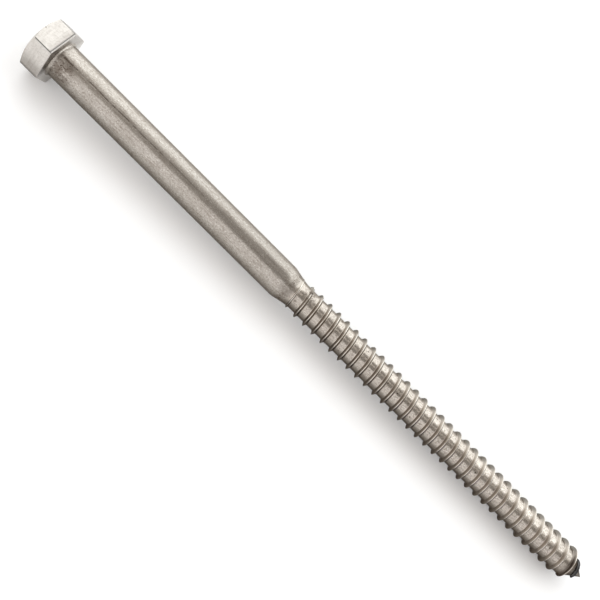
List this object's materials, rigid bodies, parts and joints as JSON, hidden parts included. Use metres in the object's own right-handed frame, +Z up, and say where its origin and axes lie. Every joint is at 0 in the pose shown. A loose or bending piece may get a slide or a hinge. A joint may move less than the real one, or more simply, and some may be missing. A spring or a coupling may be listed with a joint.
{
  "type": "lag bolt",
  "caption": "Long hex-head lag bolt with a plain shank, a necked-down coarse wood thread and a gimlet point, lying as it comes to rest.",
  "frame": {"origin": "centre of the head's bearing face, on the bolt's axis", "axes": "+X along the bolt from the head to the point, dipping 0.78 degrees because the head is wider than the thread; +Z up, with the bolt lying on one flat of its head and on its thread; +Y to its left"},
  "size_m": [0.2603, 0.0218, 0.0191],
  "materials": {
    "stainless_steel": "as forged and rolled, lightly polished"
  },
  "bodies": {
    "root": {"lag_bolt": "stainless_steel"}
  },
  "joints": []
}
